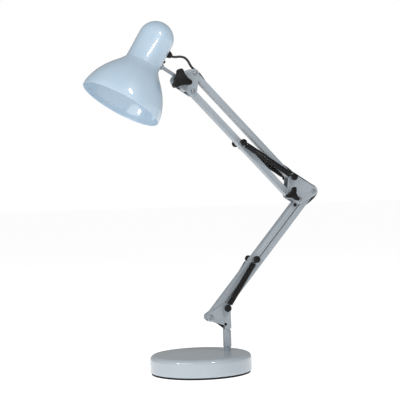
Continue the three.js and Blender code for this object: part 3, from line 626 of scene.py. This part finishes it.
def makeSpring(name, start, end, y, node, bodies):
    length = (end - start).length
    along = Vector((end[0] - start[0], 0, end[1] - start[1])).normalized()
    up = Vector((-along.z, 0, along.x))
    across = up.cross(along) * -1
    body = length - 2 * springs["hook"]
    turns = round(body / springs["pitch"])
    obj = meshObject(name + "Coils", [], [])
    worker = obj.modifiers.new("coils", "NODES")
    worker.node_group = springNodes
    inputs = [item for item in springNodes.interface.items_tree if item.in_out == "INPUT"]
    sockets = {item.name: item.identifier for item in inputs}
    values = {"Turns": float(turns), "Radius": springs["radius"] * mm, "Length": body * mm,
              "Wire": springs["wire"] * mm, "Material": springWire}
    for key, value in values.items():
        worker[sockets[key]] = value
    applied(obj)
    origin = at(start, y) + along * springs["hook"] * mm
    frameThere = Matrix((up, across, along)).transposed().to_4x4()
    obj.data.transform(Matrix.Translation(origin) @ frameThere)
    parts = [obj]
    for tip, direction in ((at(start, y), along), (at(end, y), -along)):
        eye = springs["eye"]
        bends = [math.radians(a) for a in range(40, 336, 15)]
        route = [(eye * math.cos(a), eye * math.sin(a)) for a in bends]
        route += springs["neck"] + [(springs["hook"], springs["radius"])]
        path = smoothRoute([tip + direction * (x * mm) + up * (z * mm) for x, z in route], 0.0006)
        parts.append(tubeAlong(name + "Hook", path, springs["wire"] * mm, sides=8))
    whole = smoothByAngle(outward(joined(name, parts)), 60)
    finished(whole, springWire, None, "spring_steel", node)
    firm = (end - start) * springs["firmEnd"]
    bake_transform(whole, *bodies, at(start + firm, y), at(end - firm, y))


for y, side in ((-springs["y"], "near"), (springs["y"], "far")):
    makeSpring("lowerSpring" + side.title(), rearFoot, lowerPin, y, "lower_spring_" + side,
               ("post", "lower_front_arm"))
    makeSpring("upperSpring" + side.title(), upperPin, shoulder, y, "upper_spring_" + side,
               ("bottom_arm", "elbow"))
print("springs made")

# Pieces that keep their form and have their edges softened


def softened(node, material, body, slot, width, segments):
    form = cadShape(node, "soft_" + node)
    applied(bevelled(form, width * mm, segments, 34))
    smoothByAngle(form, 32)
    return finished(form, material, body, slot, node)


armPieces = {
    "post_stem": "post", "lower_fork": "post", "lower_front_bar": "lower_front_arm",
    "lower_rear_bar": "lower_rear_arm", "elbow_bracket": "elbow", "top_bar": "top_arm",
    "bottom_bar": "bottom_arm", "head_bracket": "head_link", "head_knuckle": "head",
}
for node, body in armPieces.items():
    softened(node, armEnamel, body, "arm_paint", 0.32, 3)
rivets = {
    "front_foot_rivet": "post", "elbow_rear_rivet": "elbow", "elbow_front_rivet": "elbow",
    "head_top_rivet": "head_link", "head_bottom_rivet": "head_link",
}
for node, body in rivets.items():
    softened(node, rivetSteel, body, "steel", 0.3, 3)
pins = {
    "rear_foot_pin": "post", "front_bar_pin": "lower_front_arm", "shoulder_pin": "elbow",
    "bottom_bar_pin": "bottom_arm", "elbow_knob_bolt": "elbow", "head_knob_bolt": "head_link",
}
for node, body in pins.items():
    softened(node, zincPlate, body, "steel", 0.2, 2)
capOwners = {
    "rear_foot": "post", "front_bar": "lower_front_arm", "shoulder": "elbow", "bottom_bar": "bottom_arm",
}
for owner, body in capOwners.items():
    for side in ("near", "far"):
        softened(owner + "_cap_" + side, capPlastic, body, "black_plastic", 0.35, 3)
softened("elbow_knob", knobPlastic, "elbow_clamp", "black_plastic", 0.9, 4)
softened("head_knob", knobPlastic, "head_clamp", "black_plastic", 1.6, 5)
# painted shadow made solid: the black stop bolt below the elbow knob sits on a dark spot that is shade under
# the knob's lobe
softened("arm_stop_bolt", capPlastic, "lower_front_arm", "black_plastic", 0.3, 2)
softened("holder_screw", capPlastic, "head", "black_plastic", 0.3, 2)
softened("base_pad", padRubber, "base", "rubber", 0.5, 3)
softened("base_floor_plate", zincPlate, "base", "steel", 0.2, 2)
softened("coil_tie", capPlastic, "base", "black_plastic", 0.25, 3)
for i in (1, 2, 3):
    softened("base_screw_%d" % i, zincPlate, "base", "steel", 0.25, 2)
keptNodes = {"base_weight": castIron, "post_socket": zincPlate, "base_lead": blackSheath}
for node, material in keptNodes.items():
    for slot in cadNodes[node].material_slots:
        slot.material = material
print("softened pieces made")

# Base cover

cover = {"radius": 85, "height": 32, "topRound": 8, "rimRound": 3, "bottom": 2.8, "wall": 1.2}


def makeCover(values):
    r, h, w, b = values["radius"], values["height"], values["wall"], values["bottom"]

    def arc(radius, centreR, centreZ, start, end, steps):
        turns = [math.radians(start + (end - start) * k / steps) for k in range(steps + 1)]
        return [(centreR + radius * math.cos(t), centreZ + radius * math.sin(t)) for t in turns]
    top, rim = values["topRound"], values["rimRound"]
    profile = [(0, h)] + arc(top, r - top, h - top, 90, 0, 16) + arc(rim, r - rim, b + rim, 0, -90, 10)
    profile += arc(rim - w, r - rim, b + rim, -90, 0, 6)
    profile += arc(top - w, r - top, h - top, 0, 90, 10) + [(0, h - w)]
    profile = [(x * mm, z * mm) for x, z in profile]
    made = turnedPiece("baseShell", profile, (0, 0, 0), (0, 0, 1), sides=128, sharp=30)
    finished(made, baseEnamel, "base", "paint", "base_cover")


makeCover(cover)

# Strain relief and plug

relief = {"wallOutside": 85.3, "height": 11, "bore": 2.3, "flange": 5, "neck": 3.5, "root": 4.3, "tip": 2.9,
          "end": 113, "ribs": 7, "groove": 0.45}


def makeRelief(values):
    start, bore, flange, neck = values["wallOutside"], values["bore"], values["flange"], values["neck"]
    root, tip, end, groove = values["root"], values["tip"], values["end"], values["groove"]
    profile = [(bore, start - 4.1), (flange, start - 4.1), (flange, start - 2.1), (neck, start - 2.1),
               (neck, start), (flange, start), (flange, start + 1.6), (flange - 0.5, start + 2.1),
               (root, start + 2.5)]
    reach = end - start - 3
    for i in range(values["ribs"]):
        a = start + 3 + reach * (i + 0.25) / values["ribs"]
        b = start + 3 + reach * (i + 0.75) / values["ribs"]
        here = root + (tip - root) * (i + 0.5) / values["ribs"]
        step = reach * 0.06 / values["ribs"]
        profile += [(here, a - step), (here - groove, a + step), (here - groove, b - step),
                    (here - 0.1, b + step)]
    profile += [(tip, end - 0.3), (tip - 0.3, end), (bore, end)]
    profile = [(r * mm, h * mm) for r, h in profile]
    made = turnedPiece("cordRelief", profile, (0, 0, values["height"] * mm), (0, 1, 0), sides=40, sharp=30)
    return finished(made, capPlastic, "base", "rubber", "lead_relief")


cordRelief = makeRelief(relief)
plug = {"centre": (92, 66), "length": 34, "width": 15, "height": 13, "round": 2.2, "pinRadius": 2,
        "pinLength": 19, "spread": 9.3, "ridges": 5, "ridgePitch": 2.6, "ridgeWidth": 1.2,
        "ridgeStands": 0.35}


def boxBetween(name, low, high):
    (x0, y0, z0), (x1, y1, z1) = low, high
    corners = [(x, y, z) for z in (z0, z1) for x, y in ((x0, y0), (x1, y0), (x1, y1), (x0, y1))]
    faces = [(0, 3, 2, 1), (4, 5, 6, 7), (0, 1, 5, 4), (1, 2, 6, 5), (2, 3, 7, 6), (3, 0, 4, 7)]
    return meshObject(name, [Vector(c) * mm for c in corners], faces)


def makePlug(values):
    x, y = values["centre"]
    halfWidth, halfLength, height = values["width"] / 2, values["length"] / 2, values["height"]
    body = boxBetween("plugBody", (x - halfWidth, y - halfLength, 0), (x + halfWidth, y + halfLength, height))
    applied(bevelled(body, values["round"] * mm, 5, 30))
    parts = [body]
    side = halfWidth + values["ridgeStands"]
    for i in range(values["ridges"]):
        back = y + halfLength - 5 - i * values["ridgePitch"]
        front = back - values["ridgeWidth"]
        ridge = boxBetween("plugRidge", (x - side, front, 3), (x + side, back, height - 3))
        parts.append(applied(bevelled(ridge, 0.3 * mm, 2, 30)))
    whole = smoothByAngle(joined("plugMoulding", parts), 32)
    finished(whole, capPlastic, "base", "black_plastic", "mains_plug")
    blades = []
    r, tip = values["pinRadius"], values["pinLength"]
    for side in (-1, 1):
        profile = rounded([(0, -1), (r, -1), (r, tip, 1), (0, tip)], 0.9, 5)
        place = Vector((x + side * values["spread"] / 2, y - halfLength, height / 2)) * mm
        blades.append(turnedPiece("plugPin", [(a * mm, b * mm) for a, b in profile], place, (0, -1, 0), 28))
    pins = smoothByAngle(joined("plugPins", blades), 32)
    finished(pins, nickelPlate, "base", "steel")
    return [whole, pins]


plugPieces = makePlug(plug)
round(pathLength(mainsPath), 3)
print("base and mains pieces made")

# Head: the shade and what it holds, in a frame of its own from the middle of its mouth

head = {"tiltAt": Vector((65.7, 84.8)), "lean": 31, "wall": 1.2, "capRound": 29.7, "capShoulder": 125.5,
        "outline": [(69.3, 0), (68.2, 10), (63.4, 26), (55.3, 42), (46.2, 55), (37, 66), (31.9, 73),
                    (29.7, 77)]}
headUp = Vector((math.sin(math.radians(head["lean"])), 0, math.cos(math.radians(head["lean"]))))
headOut = Vector((math.cos(math.radians(head["lean"])), 0, -math.sin(math.radians(head["lean"]))))
mouth = at(tiltPivot) - (headOut * head["tiltAt"].x + headUp * head["tiltAt"].y) * mm


def makeShade(values):
    outline = smoothRoute([Vector((r, 0, z)) for r, z in values["outline"]], 1.4)
    outside = [(p.x, p.z) for p in outline]
    inside = []
    for i, (r, z) in enumerate(outside):
        before, after = outside[max(i - 1, 0)], outside[min(i + 1, len(outside) - 1)]
        direction = Vector((after[0] - before[0], after[1] - before[1])).normalized()
        inside.append((r - direction.y * values["wall"], max(z + direction.x * values["wall"], 0.0)))

    def dome(radius, start, end, steps):
        turns = [math.radians(start + (end - start) * k / steps) for k in range(steps + 1)]
        return [(radius * math.cos(t), values["capShoulder"] + radius * math.sin(t)) for t in turns]
    cap, wall = values["capRound"], values["wall"]
    rim = [(69.3, -0.1), (69.0, -0.5), (68.6, -0.5), (68.2, -0.1)]
    profile = [(0, values["capShoulder"] + cap - wall)]
    profile += dome(cap - wall, 84, 0, 16) + inside[::-1][:-1] + rim[::-1] + outside + dome(cap, 0, 84, 18)
    profile += [(0, values["capShoulder"] + cap)]
    profile = [(max(r, 0) * mm, h * mm) for r, h in profile]
    made = turnedPiece("shadeShell", profile, mouth, headUp, sides=144, sharp=28)
    finished(made, shadeEnamel, "head", "paint", "shade")


makeShade(head)
holderProfile = rounded([(14, 84), (19.5, 84, 1), (19.5, 92, 0.4), (18.6, 93, 0.4), (18.6, 96, 0.4),
                         (19.5, 97, 0.4), (19.5, 124, 1.5), (15.5, 128, 1.5), (0, 128), (0, 114),
                         (14, 114, 0.8)], 0.6, 4)
holder = turnedPiece("holderShell", [(r * mm, h * mm) for r, h in holderProfile[:-1]] + [(14 * mm, 114 * mm)],
                     mouth, headUp, sides=64)
finished(holder, ceramicGlaze, "head", "ceramic", "lamp_holder")


bulb = {"radius": 22.5, "centre": 58, "neck": [(12.6, 77.2), (11.4, 79.6), (11, 82), (11, 86), (0, 86)],
        "threadRoot": 12.2, "threadCrest": 13.0, "threadStart": 88, "threadPitch": 3, "threads": 6,
        "capStart": [(0, 86), (12.2, 86), (12.8, 87)], "capEnd": [(12.4, 107), (8, 111), (3, 112), (0, 112)]}


def makeBulb(values):
    radius, centre = values["radius"], values["centre"]
    angles = [math.radians(a) for a in range(-90, 52, 5)]
    globe = [(radius * math.cos(a), centre + radius * math.sin(a)) for a in angles]
    globe[0] = (0, globe[0][1])
    glass = [(max(r, 0) * mm, h * mm) for r, h in globe + values["neck"]]
    made = turnedPiece("bulbGlobe", glass, mouth, headUp, sides=64, sharp=40)
    finished(made, opalGlass, "head", "glass", "bulb")
    thread = list(values["capStart"])
    for i in range(values["threads"]):
        height = values["threadStart"] + i * values["threadPitch"]
        middle = height + values["threadPitch"] / 2
        thread += [(values["threadRoot"], height), (values["threadCrest"], middle)]
    thread += values["capEnd"]
    cap = turnedPiece("bulbCap", [(r * mm, h * mm) for r, h in thread], mouth, headUp, sides=48, sharp=50)
    finished(cap, nickelPlate, "head", "glass")


makeBulb(bulb)
grommetHeight = 115
grommetProfile = rounded([(3.2, -2.5), (3.2, 0.3), (6.5, 0.3, 0.3), (5.5, 4, 1.2), (3.2, 8, 0.6), (2.3, 8),
                          (2.3, -2.5)], 0.3, 4)
grommetPlace = mouth + headOut * head["capRound"] * mm + headUp * grommetHeight * mm
grommetProfile = [(r * mm, h * mm) for r, h in grommetProfile]
grommet = turnedPiece("shadeBush", grommetProfile, grommetPlace, headOut, sides=36)
finished(grommet, capPlastic, "head", "black_plastic", "shade_grommet")
print("head made")

# Floor, light and view

stage = {"floor": 90.0, "drop": 0.0002, "world": 0.34, "seen": 1.0, "glow": 0.66,
         "aim": Vector((-0.08, -0.03, 0.52))}
panels = {
    "key": {"toward": Vector((0.21, -0.84, 0.5)), "distance": 1.5, "width": 0.2, "height": 0.52,
            "power": 9.0},
    "side": {"toward": Vector((-0.93, -0.2, 0.22)), "distance": 1.8, "width": 0.28, "height": 0.26,
             "power": 5.0},
    "wash": {"toward": Vector((-0.82, -0.5, 0.28)), "distance": 1.8, "width": 1.3, "height": 1.3,
             "power": 13.0},
}


def makeStage(values):
    half = values["floor"] / 2
    corners = [(x * half, y * half, -values["drop"]) for x, y in ((-1, -1), (1, -1), (1, 1), (-1, 1))]
    floor = meshObject("tableTop", corners, [(0, 1, 2, 3)])
    finish = Finish("tableWhite", Roughness=0.65)
    drift = finish.noise(finish.place(), 3, 2)
    finish.set("Base Color", finish.blend(drift, (0.93, 0.93, 0.93, 1), (0.92, 0.92, 0.925, 1)))
    finish.shader.inputs["Emission Color"].default_value = (1, 1, 1, 1)
    finish.shader.inputs["Emission Strength"].default_value = values["glow"]
    floor.data.materials.append(finish.material)
    for name, lamp in panels.items():
        light = bpy.data.lights.new(name + "Panel", "AREA")
        light.shape = "ELLIPSE"
        light.size = lamp["width"]
        light.size_y = lamp["height"]
        light.energy = lamp["power"]
        panel = bpy.data.objects.new(name + "Panel", light)
        place = values["aim"] + lamp["toward"].normalized() * lamp["distance"]
        facing = lamp["toward"].to_track_quat("Z", "Y").to_matrix().to_4x4()
        panel.matrix_world = Matrix.Translation(place) @ facing
        scene.collection.objects.link(panel)
    world = bpy.data.worlds.new("paleRoom")
    world.use_nodes = True
    tree = world.node_tree
    sky = tree.nodes["Background"]
    sky.inputs["Color"].default_value = (1, 1, 1, 1)
    straight = tree.nodes.new("ShaderNodeLightPath").outputs["Is Camera Ray"]
    level = tree.nodes.new("ShaderNodeMapRange")
    level.inputs["To Min"].default_value = values["world"]
    level.inputs["To Max"].default_value = values["seen"]
    tree.links.new(straight, level.inputs["Value"])
    tree.links.new(level.outputs["Result"], sky.inputs["Strength"])
    scene.world = world
    scene.view_settings.view_transform = "Standard"
    scene.view_settings.look = "None"


makeStage(stage)
print("stage made")
